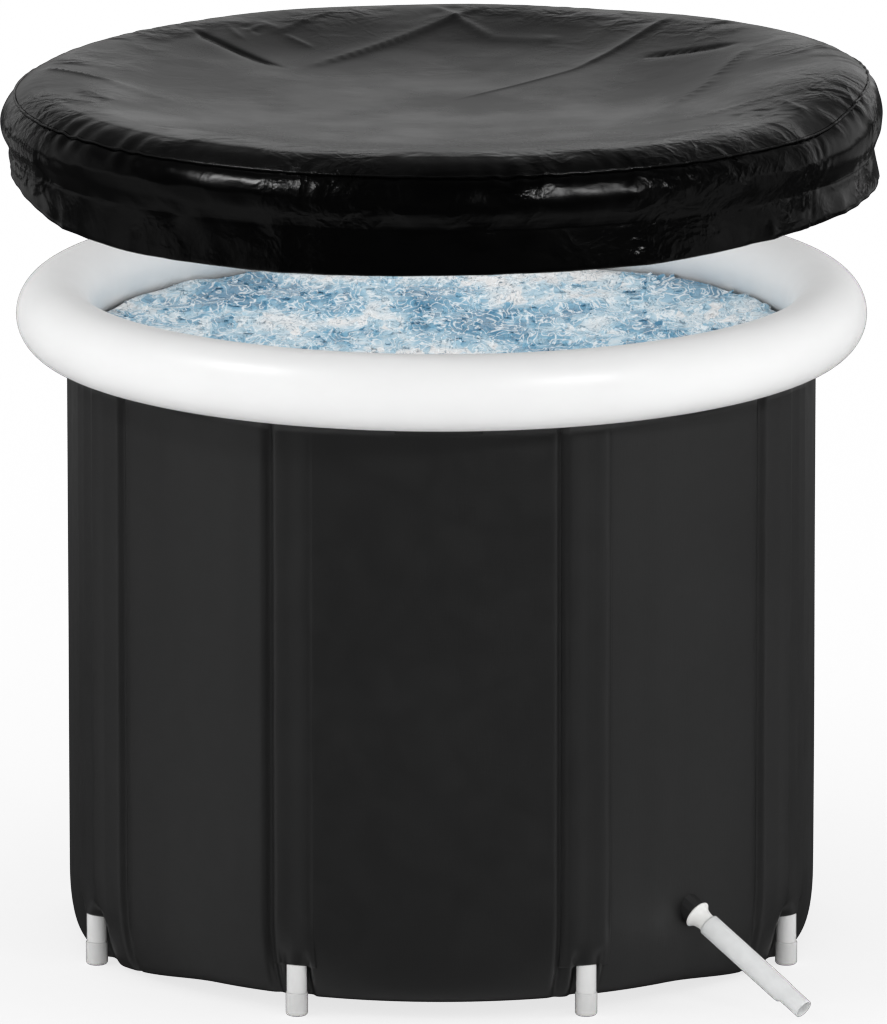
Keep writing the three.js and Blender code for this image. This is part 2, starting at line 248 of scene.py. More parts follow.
materials = {
    "wall": fabricMaterial("wallFabric", (0.0108, 0.0108, 0.011), 0.45),
    # The sleeves are the wall's fabric, painted a little lighter for the brighter bands that light gives them
    # over the poles
    "sleeve": fabricMaterial("sleeveFabricPaintedLighter", (0.0122, 0.0122, 0.0124), 0.44),
    "foam": plasticMaterial("foam", (0.72, 0.72, 0.68), 0.9),
    "liner": plasticMaterial("liner", (0.05, 0.053, 0.056), 0.45),
    "ring": plasticMaterial("ringFilm", (0.81, 0.81, 0.81), 0.4, 0.00003, 0.015),
    # Poles and feet are one grey plastic: the poles are painted lighter against the shade of the wall, the
    # feet painted darker against the light from below
    "pole": plasticMaterial("polePlasticPaintedLighter", (0.78, 0.78, 0.775), 0.42),
    "cap": plasticMaterial("capPlasticPaintedDarker", (0.62, 0.62, 0.615), 0.48),
    "drain": plasticMaterial("drainPlastic", (0.84, 0.84, 0.82), 0.38),
    "rubber": plasticMaterial("rubber", (0.019, 0.019, 0.0192), 0.6),
    "cover": vinylMaterial("coverVinyl", (0.0007, 0.0007, 0.00075), 0.25, 0.5, 0.007),
    "skirt": vinylMaterial("skirtVinyl", (0.0007, 0.0007, 0.00075), 0.18, 0.28, 0.006),
    "hose": hoseMaterial("hosePlastic", (0.9, 0.91, 0.91)),
    "ice": iceMaterial("crushedIce"),
}


# Meshes
def addMesh(name, points, faces, finish):
    mesh = bpy.data.meshes.new(name)
    mesh.from_pydata([tuple(p) for p in points], [], faces)
    merged = bmesh.new()
    merged.from_mesh(mesh)
    bmesh.ops.remove_doubles(merged, verts=merged.verts, dist=1e-6)
    merged.to_mesh(mesh)
    merged.free()
    mesh.shade_smooth()
    mesh.materials.append(materials[finish])
    piece = bpy.data.objects.new(name, mesh)
    bpy.context.scene.collection.objects.link(piece)
    return piece


def addPiece(name, points, faces, finish, body, slotName, nodes):
    piece = addMesh(name, points, faces, finish)
    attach(piece, body)
    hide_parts(*nodes)
    return piece


def smoothPath(points, steps):
    # A curve through every point, with a number of steps between each two
    knots = np.array([points[0], *points, points[-1]], float)
    share = np.linspace(0, 1, steps, endpoint=False)[:, None]
    curve = []
    for i in range(len(points) - 1):
        a, b, c, d = knots[i:i + 4]
        bend = (2 * a - 5 * b + 4 * c - d) * share ** 2 + (3 * b - a - 3 * c + d) * share ** 3
        curve.append(0.5 * (2 * b + (c - a) * share + bend))
    return np.vstack([*curve, knots[-1:]])


def offsetPath(path, distance):
    heading = np.gradient(path, axis=0)
    heading /= np.linalg.norm(heading, axis=1)[:, None]
    moved = path + distance * np.stack([-heading[:, 1], heading[:, 0]], axis=1)
    moved[np.abs(path[:, 0]) < 1e-9, 0] = 0
    return moved


def gridFaces(rows, columns):
    # Quads of a grid that closes on itself both ways
    faces = []
    for i in range(rows):
        ahead = (i + 1) % rows
        for j in range(columns):
            up = (j + 1) % columns
            faces.append((i * columns + j, ahead * columns + j, ahead * columns + up, i * columns + up))
    return faces


def revolved(section, stations, move=None):
    # Sweeps a closed section round Z: radius, height and a share for move, which returns what is added.
    # The stations are a number of even steps, or the angles themselves.
    section = np.array(section, float)
    r, z = section[:, 0], section[:, 1]
    if np.sum(r * np.roll(z, -1) - z * np.roll(r, -1)) < 0:
        section = section[::-1]
    even = np.linspace(0, 2 * math.pi, stations, endpoint=False) if np.isscalar(stations) else stations
    angle = even[:, None]
    columns = np.repeat(section[None], len(even), axis=0)
    radius, height = columns[:, :, 0], columns[:, :, 1]
    if move:
        out, up = move(angle, radius, height, columns[:, :, -1])
        radius, height = radius + out, height + up
    points = np.stack([radius * np.cos(angle), radius * np.sin(angle), height], axis=2)
    return points.reshape(-1, 3), gridFaces(len(even), len(section))


def joinMeshes(parts):
    points, faces, first = [], [], 0
    for somePoints, someFaces in parts:
        points.append(somePoints)
        faces += [tuple(v + first for v in face) for face in someFaces]
        first += len(somePoints)
    return np.vstack(points), faces


def aimed(mesh, direction, start):
    points, faces = mesh
    turn = Vector((0, 0, 1)).rotation_difference(Vector(direction)).to_matrix()
    return np.array(points) @ np.array(turn).T + np.array(start), faces


def smoothStep(value, low, high):
    share = np.clip((value - low) / (high - low), 0, 1)
    return share * share * (3 - 2 * share)


def wobble(angle, seed, slow, fast, count):
    # A smooth random wave that closes round the tub
    chance = np.random.default_rng(seed)
    total = 0
    for turns in chance.integers(slow, fast, count):
        total = total + np.sin(turns * angle + chance.uniform(0, 2 * math.pi))
    return total / math.sqrt(count)


# Drain hose: the same route as the solid, with a narrower end that lies on the floor
hose = {
    "route": [
        (0.2938, -0.3295, 0.0880),
        (0.3193, -0.3500, 0.0691),
        (0.3448, -0.3704, 0.0503),
        (0.3703, -0.3909, 0.0314),
        (0.3958, -0.4114, 0.0125),
    ],
    "radius": 0.0125,
    "wall": 0.0015,
    "sides": 40,
    "endLength": 0.028,
    "endShare": 0.86,
    "endLift": 0.8,
    "shoulder": 0.004,
}


def makeHose():
    line = smoothPath(hose["route"], 12)
    steps = np.linalg.norm(np.diff(line, axis=0), axis=1)
    along = np.concatenate([[0], np.cumsum(steps)])
    length = float(along[-1])
    heading = np.gradient(line, axis=0)
    heading /= np.linalg.norm(heading, axis=1)[:, None]
    side = np.cross(heading, (0, 0, 1))
    side /= np.linalg.norm(side, axis=1)[:, None]
    up = np.cross(side, heading)
    endStart = length - hose["endLength"]
    thin = smoothStep(along, endStart - hose["shoulder"], endStart)
    narrow = 1 - (1 - hose["endShare"]) * thin
    outer = hose["radius"] * narrow
    lift = (hose["radius"] - outer) * hose["endLift"]
    profile = [(outer[i], i) for i in range(len(line))]
    profile += [(outer[i] - hose["wall"], i) for i in reversed(range(len(line)))]
    points = []
    for turn in np.linspace(0, 2 * math.pi, hose["sides"], endpoint=False):
        for radius, i in profile:
            centre = line[i] + lift[i] * up[i]
            points.append(centre + radius * (math.cos(turn) * side[i] + math.sin(turn) * up[i]))
    faces = [tuple(reversed(face)) for face in gridFaces(hose["sides"], len(profile))]
    piece = addPiece("drainHose", points, faces, "hose", "tub", "hose_film", ["drain_hose"])
    print("hose", round(length, 4))


makeHose()

# Tub wall: three layers in eight rather flat panels, with a hollow behind each pole
wallLow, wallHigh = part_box("outer_wall")
wall = {
    "radius": wallHigh[0],
    "top": wallHigh[2],
    "under": wallLow[2],
    "corner": (0.02, 0.062),
    "lip": 0.374,
    "flat": 0.43,  # 0 is round, 1 has flat panels
    "valleyDepth": 0.0134,
    "valleyWidth": math.radians(2.4),
    "valleyUnder": 0.5,
    # How much wider each hollow is at the foot, towards its crease and away from it
    "opens": np.array([-0.15, -0.15, -0.15, -0.15, 0.75, -0.15, -0.15, 0.75]),
    "opensAway": -0.15,
    "opensBetween": (0.056, 0.09),
    "creaseDepth": 0.006,
    "creaseWidth": math.radians(0.72),
    "creases": np.radians([4, 4, 4, 4, -10.6, 3.85, 4.4, 10.6]),
    "sag": 0.0155,
    "outer": 0.0012,
    "foam": (0.0015, 0.005),  # inset and thickness
    "liner": (0.0068, 0.001),
    "wander": 0.0005,
    "flatHeight": 0.69,
}
cornerTop = wall["under"] + wall["corner"][1]
poleStep = math.pi / 4
poleFirst = math.pi / 8


def fromPole(angle):
    return (angle - poleFirst + poleStep / 2) % poleStep - poleStep / 2


def wallStations():
    # Close together by the poles, where the sleeves and their creases are
    near = np.radians(np.concatenate([np.arange(-11.6, 11.7, 0.28), np.arange(13, 33, 1.6)]))
    return np.sort(np.concatenate([near + poleFirst + k * poleStep for k in range(8)]))


def panelOut(turn):
    return wall["flat"] * wall["radius"] * (1 / np.cos(poleStep / 2 - np.abs(turn)) - 1)


def panelLift(height):
    return smoothStep(height, wall["under"] + 0.005, cornerTop + 0.03)


def wallShape(angle, height):
    # How far the wall is from its circle: panels, the hollow behind a pole, a crease beside its sleeve
    turn = fromPole(angle)
    number = np.round((angle - poleFirst) / poleStep).astype(int) % 8
    lift = panelLift(height)
    fold = wall["creaseDepth"] * np.exp(-(((turn + wall["creases"][number]) / wall["creaseWidth"]) ** 2))
    opening = np.where(turn * wall["creases"][number] < 0, wall["opens"][number], wall["opensAway"])
    width = wall["valleyWidth"] * (1 + opening * (1 - smoothStep(height, *wall["opensBetween"])))
    hollow = (wall["valleyDepth"] + lift * panelOut(0)) * np.exp(-((turn / width) ** 6))
    return lift * panelOut(turn) - hollow - fold


def wallFace(inset):
    # One face of a layer: down from the top, round the corner to the underside
    width, height = wall["corner"]
    face = []
    for z in np.linspace(wall["top"], cornerTop, 50):
        face.append((wall["radius"] - inset, z, 1))
    for turn in np.linspace(0, math.pi / 2, 19)[1:]:
        across = wall["radius"] - width + (width - inset) * math.cos(turn)
        share = 1 - (1 - wall["valleyUnder"]) * smoothStep(turn, math.pi / 3, math.pi / 2)
        face.append((across, cornerTop - (height - inset) * math.sin(turn), share))
    return face


def wallMove(angle, radius, height, share):
    turn = fromPole(angle)
    level = np.sin(height * 9 + 2 * np.sin(3 * angle))
    wander = wall["wander"] * (wobble(angle, 4, 5, 30, 7) * level + 0.5 * wobble(angle, 9, 20, 60, 6))
    quiet = smoothStep(np.abs(turn), math.radians(4.8), math.radians(10))
    quiet = quiet * smoothStep(height, wall["under"] + 0.01, cornerTop)
    sides = smoothStep(np.abs(np.cos(angle)), 0.62, 0.93)
    sides = sides * smoothStep(radius, wall["lip"], wall["lip"] + 0.015)
    sag = wall["sag"] * sides * (1 - smoothStep(height, wall["under"] + 0.012, cornerTop + 0.03))
    return share * (wander * quiet + wallShape(angle, height)), -sag


def makeWall():
    under = wall["under"]
    outer = wallFace(0) + [(wall["lip"], under, 0)]
    inner = wallFace(wall["outer"])[::3] + [(wall["lip"], under + wall["outer"], 0)]
    points, faces = revolved(outer + inner[::-1], wallStations(), wallMove)
    piece = addPiece("outerWall", points, faces, "wall", "tub", "wall_fabric", ["outer_wall"])
    inset, depth = wall["foam"]
    points, faces = revolved(wallFace(inset)[::3] + wallFace(inset + depth)[::-3], wallStations(), wallMove)
    addPiece("wallInsulation", points, faces, "foam", "tub", "foam", ["wall_insulation"])
    inset, depth = wall["liner"]
    outer = wallFace(inset)[::3] + [(0, under + inset, 0)]
    inner = wallFace(inset + depth)[::3] + [(0, under + inset + depth, 0)]
    points, faces = revolved(outer + inner[::-1], wallStations(), wallMove)
    addPiece("innerLiner", points, faces, "liner", "tub", "liner_film", ["inner_liner"])
    print("wall made")


makeWall()

# Inflated ring, and the band that joins it to the wall
ringLow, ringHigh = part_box("rim_ring")
ring = {
    "tube": (ringHigh[2] - ringLow[2]) / 2,
    "height": (ringHigh[2] + ringLow[2]) / 2,
    "pucker": 0.0004,
    "bandGap": 0.0003,
    "bandStep": 0.0036,
}
ring["radius"] = ringHigh[0] - ring["tube"]


def ringMove(angle, radius, height, share):
    inward = smoothStep(ring["radius"] - radius, 0, ring["tube"])
    return inward * ring["pucker"] * wobble(angle, 21, 40, 90, 9), 0 * height


def circleSection(radius, height, size, sides):
    turn = np.linspace(0, 2 * math.pi, sides, endpoint=False)
    return [(radius + size * math.cos(t), height + size * math.sin(t)) for t in turn]


def makeRing():
    section = circleSection(ring["radius"], ring["height"], ring["tube"], 72)
    points, faces = revolved(section, 300, ringMove)
    piece = addPiece("rimRing", points, faces, "ring", "tub", "ring_film", ["rim_ring"])
    low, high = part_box("rim_band")
    gap = ring["bandGap"]
    inside = wall["radius"] - wall["liner"][0] - wall["liner"][1]
    outside = wall["radius"] + gap
    band = [
        (inside, wall["top"] + gap),
        (outside, wall["top"] + gap),
        (outside, low[2]),
        (high[0], low[2]),
        (high[0], wall["top"] + ring["bandStep"]),
        (inside, high[2]),
    ]
    points, faces = revolved(band, 200)
    addPiece("rimBand", points, faces, "wall", "tub", "wall_fabric", ["rim_band"])
    print("ring made")


makeRing()

# Poles with their feet, and the sleeves drawn over them, each with a deeper crease on one side
pole = {
    "radius": 0.011,
    "bore": 0.009,
    "circle": 0.4145,
    "edge": 0.0004,
    "footRadius": 0.012,
    "footHeight": 0.026,
    "footHeel": 0.0035,
    "footSole": 0.003,
    "footGap": 0.0002,
}
sleeve = {
    "past": 0.0245,  # how far it reaches on the side away from its crease
    "endWeld": 0.018,
    "endHeight": 0.022,
    "arch": 0.004,
    "fabric": 0.0007,
    "cover": 0.0125,  # from the middle of the pole to the outer face
    "soft": 0.0024,
    "fall": 0.009,  # width of the step down into the crease
    "fallAway": 0.0012,
    "pleat": 0.0004,
    "pleatWidth": 0.0288,
    "groove": 0.001,
    "plainWidth": 0.0525,
    "waves": (0.0004, 0.0003),
    "clear": 0.0009,  # least height over the wall
    "tuck": 0.0003,  # edges sink this far into it
    "hems": 0.004,
    "top": 0.6645,
    "rows": 70,
}


def wallRadiusAt(z):
    width, height = wall["corner"]
    depth = min(max((cornerTop - z) / height, 0), 1)
    return wall["radius"] - width + width * math.sqrt(1 - depth ** 2)


def tentLine(x, weld, base):
    # The height of a straight flank that leaves the cover over the pole and meets the wall at the weld
    drop = base - pole["circle"]
    reach = math.hypot(weld, drop)
    leave = math.atan2(drop, weld) + math.acos(sleeve["cover"] / reach)
    topX = sleeve["cover"] * math.cos(leave)
    topY = pole["circle"] + sleeve["cover"] * math.sin(leave)
    slope = (base - topY) / (weld - topX)
    arch = pole["circle"] + np.sqrt(np.maximum(sleeve["cover"] ** 2 - x ** 2, 0))
    return np.where(x < topX, arch, topY + slope * (x - topX))


def sleeveRow(x, z, foot, phase, angle, side):
    # Outer face of the sleeve at one height, two soft pleats over the pole; x grows towards the crease
    share = smoothStep(z - foot, 0, sleeve["endHeight"])
    turn = np.linspace(-0.24, 0.24, 800)
    reach = wallRadiusAt(z) + wallShape(angle - side * turn, np.full_like(turn, z))
    onWall = np.interp(x, reach * np.sin(turn), reach * np.cos(turn))
    tent = tentLine(np.abs(x), sleeve["endWeld"], onWall[-1])
    narrow = np.where(np.abs(x) < sleeve["endWeld"], tent, onWall)
    slow, fast = sleeve["waves"]
    wave = slow * math.sin(z * 21 + phase[0]) + fast * math.sin(z * 57 + phase[1])
    edge = x[-1] - sleeve["fall"]
    crown = pole["circle"] + sleeve["cover"]
    panel = wallRadiusAt(z) + panelLift(z) * panelOut(turn)
    meets = np.interp(edge, panel * np.sin(turn), panel * np.cos(turn))
    drop = max(crown - meets, 0) * np.clip(x / edge, 0, 1)
    drop = drop + sleeve["fallAway"] * np.clip(-x / sleeve["past"], 0, 1)
    stretch = (x[-1] - x[0]) / sleeve["plainWidth"]
    pleat = 1 - np.cos(2 * math.pi * (x - sleeve["groove"]) / (sleeve["pleatWidth"] * stretch))
    band = np.maximum(crown - drop, onWall) + sleeve["pleat"] * stretch * pleat
    hold = 1 - smoothStep(x, edge + wave, x[-1] - 0.002)
    hold = hold * (1 - smoothStep(-x, sleeve["past"] - 0.006 + wave, sleeve["past"] - 0.0005))
    face = share * (onWall + (band - onWall) * hold) + (1 - share) * np.maximum(narrow, onWall)
    spread = np.exp(-(((x[:, None] - x[None, :]) / sleeve["soft"]) ** 2))
    face = spread @ face / spread.sum(axis=1)
    inner = np.minimum(smoothStep(x[-1] - x, 0, 0.004), smoothStep(x - x[0], 0, 0.005))
    return np.maximum(face, onWall + share * sleeve["clear"] * inner - sleeve["tuck"])


def makeSleeve(number, angle):
    node = f"pole_sleeve_{number}"
    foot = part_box(node)[0][2]
    phase = np.random.default_rng(30 + number).uniform(0, 6, 2)
    fold = wall["creases"][number - 1]
    side = int(np.sign(fold))
    x = np.linspace(-sleeve["past"], abs(fold) * wall["radius"], 81)
    rows = foot + (sleeve["top"] - foot) * np.linspace(0, 1, sleeve["rows"]) ** 1.3
    across = side * np.concatenate([x, x[::-1]])
    arch = sleeve["arch"] * np.minimum((across / sleeve["endWeld"]) ** 2, 1)
    turn = angle - math.pi / 2
    points = []
    for z in rows:
        face = sleeveRow(x, z, foot, phase, angle, side)
        out = np.concatenate([face, face[::-1] - sleeve["fabric"]])
        points.append(np.stack([
            across * math.cos(turn) - out * math.sin(turn),
            across * math.sin(turn) + out * math.cos(turn),
            z - arch * (1 - smoothStep(z - foot, 0, 0.03)),
        ], axis=1))
    size = 2 * len(x)
    faces = []
    for i in range(len(rows) - 1):
        for j in range(size):
            k = (j + 1) % size
            faces.append((i * size + k, i * size + j, (i + 1) * size + j, (i + 1) * size + k))
    last = (len(rows) - 1) * size
    for j in range(len(x) - 1):
        k = size - 1 - j
        faces.append((j, j + 1, k - 1, k))
        faces.append((last + j + 1, last + j, last + k, last + k - 1))
    faces = faces if side > 0 else [face[::-1] for face in faces]
    name = f"poleSleeve{number}"
    piece = addPiece(name, np.vstack(points), faces, "sleeve", "tub", "sleeve_fabric", [node])


def makePole(number, angle):
    node = f"support_pole_{number}"
    low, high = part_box(node)
    centre = (pole["circle"] * math.cos(angle), pole["circle"] * math.sin(angle), 0)
    edge, bore, radius = pole["edge"], pole["bore"], pole["radius"]
    tube = [
        (bore, low[2]),
        (radius - edge, low[2]),
        (radius, low[2] + edge),
        (radius, high[2] - edge),
        (radius - edge, high[2]),
        (bore, high[2]),
    ]
    points, faces = revolved(tube, 40)
    body = f"pole_{number}"
    addPiece(f"supportPole{number}", points + centre, faces, "pole", body, "pole_plastic", [node])
    outer, top, sole, heel = pole["footRadius"], pole["footHeight"], pole["footSole"], pole["footHeel"]
    grip = radius + pole["footGap"]
    turn = np.linspace(0, math.pi / 2, 6)
    lower = [(outer - heel + heel * math.sin(t), heel - heel * math.cos(t)) for t in turn]
    brim = [(outer, top - 0.0012), (outer - edge, top - 0.0003), (grip, top), (grip, sole), (0, sole)]
    points, faces = revolved([(0, 0), *lower, *brim], 40)
    addPiece(f"poleFoot{number}", points + centre, faces, "cap", body, "cap_plastic", [f"pole_foot_{number}"])


for index in range(8):
    poleAngle = poleFirst + index * poleStep
    makeSleeve(index + 1, poleAngle)
    makePole(index + 1, poleAngle)
print("poles made")

# Drain spigot: a shank through the wall, an elbow, a flared flange and a neck for the hose
drain = {
    "azimuth": math.radians(-48.75),
    "height": 0.1,
    "bend": 0.421,
    "fall": math.radians(30),
    "yaw": math.radians(10),
    "neck": 0.0103,
    "bore": 0.0075,
    "length": 0.049,
    "flange": 0.016,
    "flangeAt": 0.0044,
    "shank": 0.01,
    "shankEnd": 0.3907,
}


def makeSpigot():
    out = (math.cos(drain["azimuth"]), math.sin(drain["azimuth"]), 0)
    heading = drain["azimuth"] + drain["yaw"]
    level = math.cos(drain["fall"])
    spout = (level * math.cos(heading), level * math.sin(heading), -math.sin(drain["fall"]))
    bend = np.array(out) * drain["bend"] + (0, 0, drain["height"])
    neck, bore, flange, start = drain["neck"], drain["bore"], drain["flange"], drain["flangeAt"]
    profile = [
        (bore, 0.002),
        (neck, 0.002),
        (neck, start),
        (flange - 0.0006, start),
        (flange, start + 0.0006),
        (flange, start + 0.0016),
        (flange - 0.0008, start + 0.0024),
        (neck + 0.0024, start + 0.0048),
        (neck + 0.0008, start + 0.0085),
        (neck, start + 0.013),
        (neck, drain["length"]),
        (bore, drain["length"]),
    ]
    turn = np.linspace(-math.pi / 2, math.pi / 2, 17)
    elbow = [(abs(neck * math.cos(t)), neck * math.sin(t)) for t in turn]
    elbow[0], elbow[-1] = (0, -neck), (0, neck)
    shank = [
        (bore, drain["shankEnd"]),
        (drain["shank"], drain["shankEnd"]),
        (drain["shank"], drain["bend"]),
        (bore, drain["bend"]),
    ]
    parts = [
        aimed(revolved(profile, 48), spout, bend),
        aimed(revolved(elbow, 48), spout, bend),
        aimed(revolved(shank, 48), out, (0, 0, drain["height"])),
    ]
    addPiece("drainSpigot", *joinMeshes(parts), "drain", "tub", "drain_plastic", ["drain_spigot"])
    print("drain made")


makeSpigot()

# Cover: a dished panel with packing creases, and a skirt with puckers and hem folds
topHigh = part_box("lid_top_panel")[1]
skirtLow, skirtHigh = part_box("lid_skirt")
cover = {
    "film": 0.0012,
    "under": 0.006,
    "bulge": skirtHigh[0],
    "crown": topHigh[2],
    "hem": skirtLow[2],
    "dish": 0.03,
    "seam": (0.4715, 0.0145),
    "rise": 0.018,
    "ripple": 0.0003,
    "ripples": 14,
    "seamWave": 0.0009,
    "hemDrop": 0.074,  # from the middle of the bulge down to the hem
    "flat": 0.95,
    "topStations": 720,
    "skirtStations": 800,
}
middle = cover["hem"] + cover["hemDrop"]


def crease(x, y, start, end, width):
    # A sharp ridge along a line, fading at both ends
    ahead = np.subtract(end, start)
    reach = np.hypot(*ahead)
    share = ((x - start[0]) * ahead[0] + (y - start[1]) * ahead[1]) / reach ** 2
    off = ((x - start[0]) * ahead[1] - (y - start[1]) * ahead[0]) / reach
    fade = smoothStep(share, -0.05, 0.2) * (1 - smoothStep(share, 0.7, 1.05))
    return fade * np.exp(-np.abs(off) / np.where(off > 0, width, 0.4 * width))


# Each crease: start and end on the cover seen from above, width, height
packingCreases = [
    ((0.055, 0.425), (-0.165, 0.165), 0.013, 0.0032),
    ((-0.015, 0.43), (0.065, 0.30), 0.011, 0.0025),
    ((0.055, 0.315), (0.14, 0.295), 0.007, 0.0015),
    ((0.27, 0.345), (0.14, 0.155), 0.011, 0.0027),
    ((0.16, 0.18), (0.01, 0.025), 0.011, 0.0012),
    ((-0.315, 0.335), (-0.172, 0.172), 0.0065, -0.0038),
    ((0.225, 0.197), (0.335, 0.18), 0.007, -0.0032),
    ((0.345, 0.15), (0.295, 0.02), 0.011, 0.0024),
    ((0.305, 0.04), (0.245, -0.085), 0.011, 0.0024),
    ((-0.445, 0.06), (-0.36, 0.007), 0.007, 0.0026),
    ((-0.375, 0.02), (-0.29, -0.07), 0.009, 0.0015),
    ((0.368, -0.14), (0.41, -0.225), 0.007, 0.0022),
    ((0.235, -0.182), (0.37, -0.118), 0.007, 0.0018),
    ((-0.12, 0.40), (-0.19, 0.30), 0.007, 0.0018),
]
# Clusters of small wrinkles: centre, reach and how many
wrinklePatches = [
    ((-0.41, -0.115), 0.05, 9),
    ((0.345, -0.22), 0.04, 8),
    ((0.325, 0.31), 0.045, 8),
    ((-0.175, 0.32), 0.06, 8),
    ((-0.05, -0.41), 0.06, 5),
]


def smallWrinkles():
    chance = np.random.default_rng(14)
    lines = []
    for centre, reach, count in wrinklePatches:
        for _ in range(count):
            spot = np.array(centre) + chance.uniform(-reach, reach, 2)
            turn = chance.uniform(0, 2 * math.pi)
            half = chance.uniform(0.012, 0.03) * np.array([math.cos(turn), math.sin(turn)])
            rise = chance.choice([-1, 1]) * chance.uniform(0.0006, 0.0014)
            lines.append((spot - half, spot + half, 0.006, rise))
    return lines


def angleFrom(angle, spot):
    return (angle - spot + math.pi) % (2 * math.pi) - math.pi


def rimRise(angle):
    # The rim of the soft cover stands higher on the right
    turn = np.degrees(angleFrom(angle, 0))
    return cover["rise"] * smoothStep(turn, -32, -8) * (1 - smoothStep(turn, -5, 85))


def seamPucker(angle):
    return wobble(angle, 5, 40, 130, 12) * (0.5 + 0.5 * wobble(angle, 6, 2, 9, 3))


def topMove(angle, radius, height, share):
    x, y = radius * np.cos(angle), radius * np.sin(angle)
    up = 0 * x
    for start, end, width, rise in packingCreases + smallWrinkles():
        up = up + rise * crease(x, y, start, end, width)
    chance = np.random.default_rng(8)
    for _ in range(cover["ripples"]):
        heading = chance.uniform(0, math.pi)
        wave = chance.uniform(10, 30)
        along = x * math.cos(heading) + y * math.sin(heading)
        up = up + cover["ripple"] * np.sin(wave * along + chance.uniform(0, 6))
    # Hollows fade over the ring, where the closed cover lies
    calm = 1 - 0.95 * smoothStep(radius, 0.385, 0.41)
    up = np.where(up < 0, up * calm, up)
    rim = smoothStep(radius, 0.43, cover["seam"][0])
    up = share * up * (1 - rim) + cover["seamWave"] * rim * seamPucker(angle)
    return 0 * x, up + rimRise(angle) * smoothStep(radius, 0.2, 0.46)


def makeTopPanel():
    crown = cover["crown"]
    bottom = crown - cover["dish"]
    seamRadius, seamDrop = cover["seam"]
    line = [
        (seamRadius, crown - seamDrop),
        (0.465, crown - 0.0095),
        (0.456, crown - 0.0045),
        (0.446, crown - 0.0014),
        (0.436, crown),
        (0.41, crown - 0.0007),
        (0.37, crown - 0.005),
        (0.29, bottom + 0.0135),
        (0.22, bottom + 0.0072),
        (0.15, bottom + 0.003),
        (0.05, bottom + 0.0004),
        (0, bottom),
    ]
    path = smoothPath(line, 10)
    path[-1, 0] = 0
    thin, thick = offsetPath(path, cover["film"]), offsetPath(path, cover["under"])
    # Over the ring the film is thin, and its underside moves with the top
    share = smoothStep(path[:, :1], 0.396, 0.41)
    lower = np.hstack([share * thin + (1 - share) * thick, share])[::-8]
    section = [(*spot, 1) for spot in path] + [tuple(spot) for spot in lower]
    points, faces = revolved(section, cover["topStations"], topMove)
    piece = addPiece("lidTopPanel", points, faces, "cover", "lid", "cover_film", ["lid_top_panel"])


skirt = {
    "waist": 0.009,  # inside the bulge
    "hem": 0.0045,
    "turnedIn": 0.009,
    "hemWave": 0.0025,
    "hemRipple": 0.0007,
    "waistRipple": 0.0009,
    "waistLine": 0.0014,
    "slant": 0.0006,
    "joinAt": math.radians(-31.5),
    "joinGroove": 0.0013,
    "joinPucker": 0.0008,
    "pucker": 0.0007,
    "puckerUp": 0.0005,
    "flatHeight": 0.148,
}
# Folds of the hem: angle and width in degrees, how far out
hemFolds = [
    (-24, 3, 0.003),
    (-41, 2.5, 0.003),
    (-44.5, 2, -0.002),
    (-59, 2, 0.0025),
    (-148, 2.5, 0.003),
    (-110, 2.5, 0.002),
]
# How the hem hangs: angle in degrees, lift, and how far out
hemLine = [
    (-180, 0.017, -0.0065),
    (-168, 0.016, -0.0065),
    (-160, 0.009, -0.006),
    (-150, 0.0005, -0.004),
    (-135, -0.006, -0.001),
    (-112, -0.0065, 0),
    (-90, -0.0035, 0),
    (-62, -0.002, 0),
    (-45, 0.003, 0),
    (-27, 0.009, 0),
    (-15, 0.009, 0),
    (10, 0.003, 0),
    (90, 0, 0),
    (150, 0.008, -0.004),
]


def hangingHem(angle):
    turn, lift, out = np.array(hemLine).T
    spot = np.degrees(angle)
    return np.interp(spot, turn, out, period=360), np.interp(spot, turn, lift, period=360)


def skirtMove(angle, radius, height, share):
    level = height - middle
    hemShare = smoothStep(-level, 0.03, cover["hemDrop"])
    right = 0.6 + 0.4 * np.cos(angle + 0.5)
    out = hemShare * skirt["hemWave"] * right * (0.5 + 0.5 * np.sin(9 * angle + 1.4 * np.sin(angle)))
    out = out + hemShare * skirt["hemRipple"] * wobble(angle, 12, 25, 70, 9)
    for spot, width, size in hemFolds:
        near = angleFrom(angle, math.radians(spot) + 0.25 * level) / math.radians(width)
        out = out + size * hemShare * np.exp(-np.abs(near) * 1.4)
    waist = np.exp(-(((level + 0.029) / 0.012) ** 2))
    out = out + skirt["waistRipple"] * wobble(angle, 19, 16, 60, 8) * waist
    out = out - skirt["waistLine"] * np.exp(-np.abs(level + 0.0295) / 0.003)
    belly = np.exp(-(((level - 0.002) / 0.018) ** 2))
    slant = np.sin(55 * angle + 160 * level + 3 * np.sin(7 * angle)) * wobble(angle, 23, 3, 11, 4)
    out = out + skirt["slant"] * belly * slant
    seamShare = smoothStep(level, 0.004, 0.03)
    aside = angleFrom(angle, skirt["joinAt"] + 0.6 * level) * 0.48
    groove = skirt["joinGroove"] * np.exp(-((aside / 0.0025) ** 2))
    groove = groove + skirt["joinPucker"] * np.exp(-np.abs(aside) / 0.012) * np.sin(aside * 420)
    pucker = seamShare * seamPucker(angle)
    hemOut, hemUp = hangingHem(angle)
    up = hemShare * hemUp + smoothStep(level, -0.028, 0.028) * rimRise(angle) + skirt["puckerUp"] * pucker
    return out + skirt["pucker"] * pucker - groove + hemShare * hemOut, up


